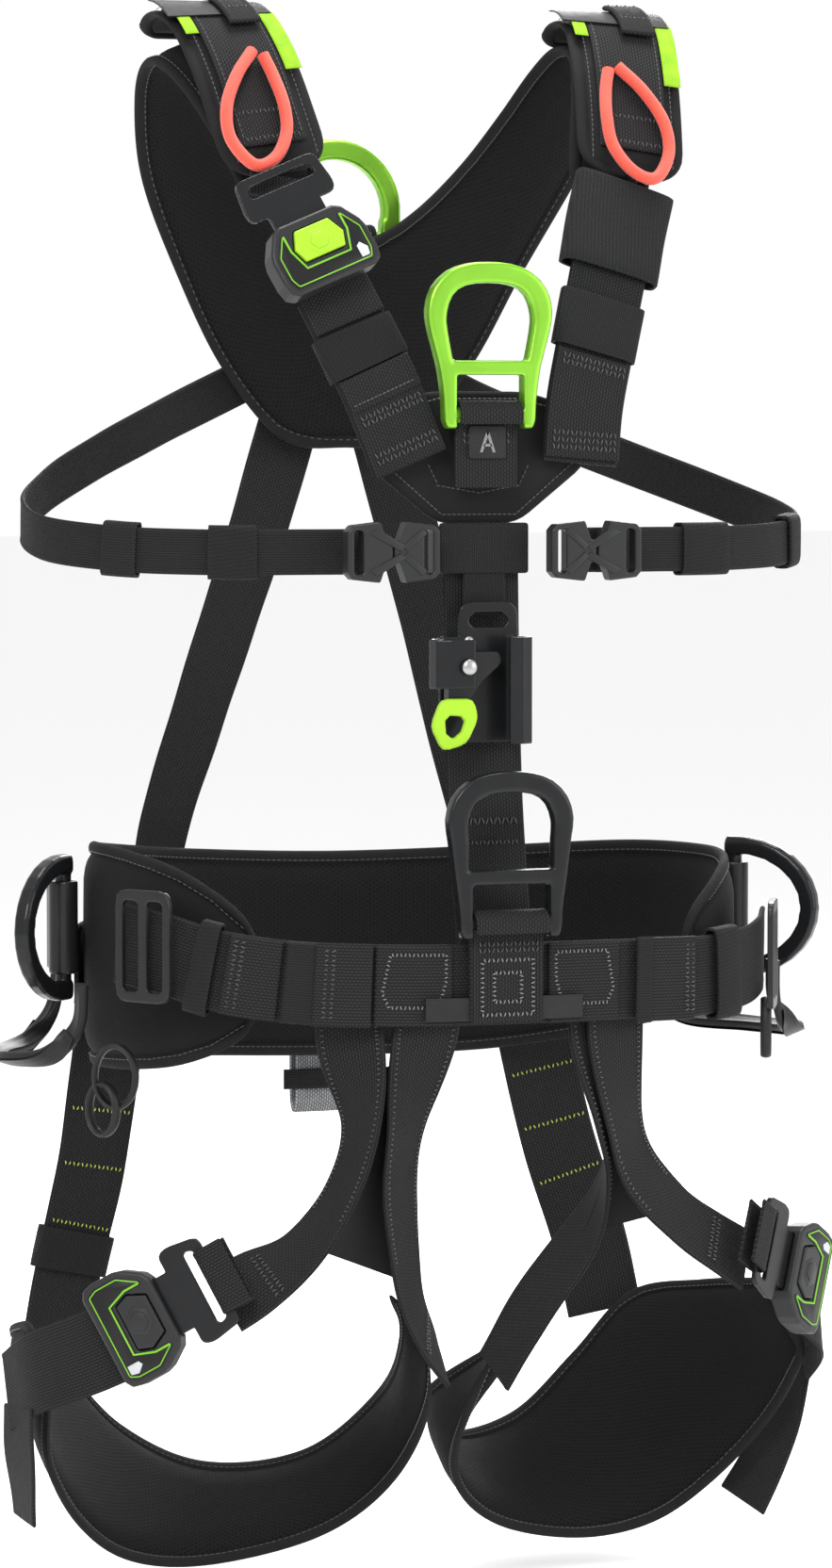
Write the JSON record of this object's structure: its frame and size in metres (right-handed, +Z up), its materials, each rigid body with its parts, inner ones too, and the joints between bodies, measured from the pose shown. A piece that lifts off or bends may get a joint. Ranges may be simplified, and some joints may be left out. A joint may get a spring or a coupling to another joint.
{
  "type": "full body rope access harness",
  "caption": "Full body climbing harness with padded yoke, waist belt and leg loops, hinged attachment rings, latching buckles, chest clips and a chest rope clamp.",
  "frame": {"origin": "centre of the wearer's waist, at mid height of the waist belt", "axes": "+X to the viewer's right, the harness faces -Y, +Z up towards the shoulders"},
  "size_m": [0.4976, 0.3207, 0.8881],
  "materials": {
    "webbing": "woven polyester",
    "padding": "perforated spacer mesh over foam",
    "lime_aluminium": "anodised satin",
    "black_aluminium": "anodised satin",
    "cord": "braided sheath",
    "black_plastic": "moulded",
    "grey_plastic": "moulded",
    "lime_plastic": "moulded",
    "steel": "satin",
    "grey_webbing": "woven"
  },
  "bodies": {
    "harness": {"yoke_pad": "padding", "shoulder_cover_right": "padding", "shoulder_cover_left": "padding", "park_loop_right": "cord", "park_loop_left": "cord", "shoulder_web_right": "webbing", "shoulder_web_left": "webbing", "tongue_web_left": "webbing", "sternal_pad": "padding", "chest_web_centre": "webbing", "front_web": "webbing", "chest_web_right": "webbing", "chest_web_left": "webbing", "back_web_right": "webbing", "back_web_left": "webbing", "sternal_ring_web": "webbing", "ventral_ring_web": "webbing", "dorsal_ring_web": "webbing", "waist_pad": "padding", "waist_web_back": "webbing", "waist_web_front": "webbing", "gear_loop_right": "black_plastic", "gear_loop_left": "black_plastic", "haul_loop": "grey_webbing", "ascender_frame": "black_aluminium", "ascender_pin": "steel", "shoulder_buckle_tongue": "black_aluminium", "side_ring_holder_left": "black_plastic", "chest_clip_socket_left": "grey_plastic", "leg_pad_left": "padding", "leg_riser_web_left": "webbing", "leg_outer_web_left": "webbing", "leg_inner_web_left": "webbing", "leg_buckle_web_left": "webbing", "leg_buckle_left_tongue": "black_aluminium", "side_ring_holder_right": "black_plastic", "chest_clip_socket_right": "grey_plastic", "leg_pad_right": "padding", "leg_riser_web_right": "webbing", "leg_outer_web_right": "webbing", "leg_inner_web_right": "webbing", "leg_buckle_web_right": "webbing", "leg_buckle_right_tongue": "black_aluminium"},
    "sternal_ring": {"sternal_ring": "lime_aluminium"},
    "ventral_ring": {"ventral_ring": "black_aluminium"},
    "dorsal_ring": {"dorsal_ring": "lime_aluminium"},
    "side_ring_left": {"side_ring_left": "black_aluminium"},
    "side_ring_right": {"side_ring_right": "black_aluminium"},
    "shoulder_buckle": {"shoulder_buckle_housing": "grey_plastic"},
    "shoulder_buckle_button": {"shoulder_buckle_button": "lime_plastic"},
    "leg_buckle_left": {"leg_buckle_left_housing": "grey_plastic"},
    "leg_buckle_left_button": {"leg_buckle_left_button": "grey_plastic"},
    "leg_buckle_right": {"leg_buckle_right_housing": "grey_plastic"},
    "leg_buckle_right_button": {"leg_buckle_right_button": "grey_plastic"},
    "chest_clip_left": {"chest_clip_plug_left": "grey_plastic"},
    "chest_clip_right": {"chest_clip_plug_right": "grey_plastic"},
    "ascender_cam": {"ascender_cam": "steel"},
    "ascender_lever": {"ascender_lever": "lime_plastic"},
    "waist_buckle_left": {"waist_buckle_left": "steel"},
    "waist_buckle_right": {"waist_buckle_right": "steel"}
  },
  "joints": [
    {"name": "sternal_ring_hinge", "type": "hinge", "parent": "harness", "child": "sternal_ring", "pos_m": [0, -0.119, 0.317], "axis": [1, 0, 0], "range_deg": [0, 150]},
    {"name": "ventral_ring_hinge", "type": "hinge", "parent": "harness", "child": "ventral_ring", "pos_m": [0, -0.151, 0.038], "axis": [1, 0, 0], "range_deg": [0, 150]},
    {"name": "dorsal_ring_hinge", "type": "hinge", "parent": "harness", "child": "dorsal_ring", "pos_m": [0, 0.127, 0.421], "axis": [1, 0, 0], "range_deg": [-150, 0]},
    {"name": "side_ring_left_hinge", "type": "hinge", "parent": "harness", "child": "side_ring_left", "pos_m": [-0.206, 0.008, 0.03], "axis": [0, 0, 1], "range_deg": [-90, 25]},
    {"name": "side_ring_right_hinge", "type": "hinge", "parent": "harness", "child": "side_ring_right", "pos_m": [0.206, 0.008, 0.03], "axis": [0, 0, 1], "range_deg": [-25, 90]},
    {"name": "shoulder_buckle_slide", "type": "slide", "parent": "harness", "child": "shoulder_buckle", "axis": [0.3907, -0.3148, -0.865], "range_m": [0, 0.02]},
    {"name": "shoulder_buckle_button_slide", "type": "slide", "parent": "shoulder_buckle", "child": "shoulder_buckle_button", "axis": [0, 0.9397, -0.342], "range_m": [0, 0.0015], "stiffness_N_per_m": 1500},
    {"name": "leg_buckle_left_slide", "type": "slide", "parent": "harness", "child": "leg_buckle_left", "axis": [-0.7294, 0.4682, -0.4988], "range_m": [0, 0.02]},
    {"name": "leg_buckle_left_button_slide", "type": "slide", "parent": "leg_buckle_left", "child": "leg_buckle_left_button", "axis": [0.5722, 0.8172, -0.0698], "range_m": [0, 0.0015], "stiffness_N_per_m": 1500},
    {"name": "leg_buckle_right_slide", "type": "slide", "parent": "harness", "child": "leg_buckle_right", "axis": [0.7039, 0.5057, -0.4988], "range_m": [0, 0.02]},
    {"name": "leg_buckle_right_button_slide", "type": "slide", "parent": "leg_buckle_right", "child": "leg_buckle_right_button", "axis": [-0.6142, 0.7861, -0.0698], "range_m": [0, 0.0015], "stiffness_N_per_m": 1500},
    {"name": "chest_clip_left_slide", "type": "slide", "parent": "harness", "child": "chest_clip_left", "axis": [-1, 0, 0], "range_m": [0, 0.022]},
    {"name": "chest_clip_right_slide", "type": "slide", "parent": "harness", "child": "chest_clip_right", "axis": [1, 0, 0], "range_m": [0, 0.022]},
    {"name": "ascender_cam_hinge", "type": "hinge", "parent": "harness", "child": "ascender_cam", "pos_m": [-0.02, -0.126, 0.179], "axis": [0, 1, 0], "range_deg": [-12, 10], "stiffness_Nm_per_rad": 0.05},
    {"name": "ascender_lever_hinge", "type": "hinge", "parent": "ascender_cam", "child": "ascender_lever", "pos_m": [-0.027, -0.1325, 0.1585], "axis": [0, 1, 0], "range_deg": [0, 10], "stiffness_Nm_per_rad": 0.05},
    {"name": "waist_buckle_left_hinge", "type": "hinge", "parent": "harness", "child": "waist_buckle_left", "pos_m": [-0.189, -0.084, 0.026], "axis": [0, 0, 1], "range_deg": [-8, 8]},
    {"name": "waist_buckle_right_hinge", "type": "hinge", "parent": "harness", "child": "waist_buckle_right", "pos_m": [0.189, -0.084, 0.01], "axis": [0, 0, 1], "range_deg": [-8, 8]}
  ]
}
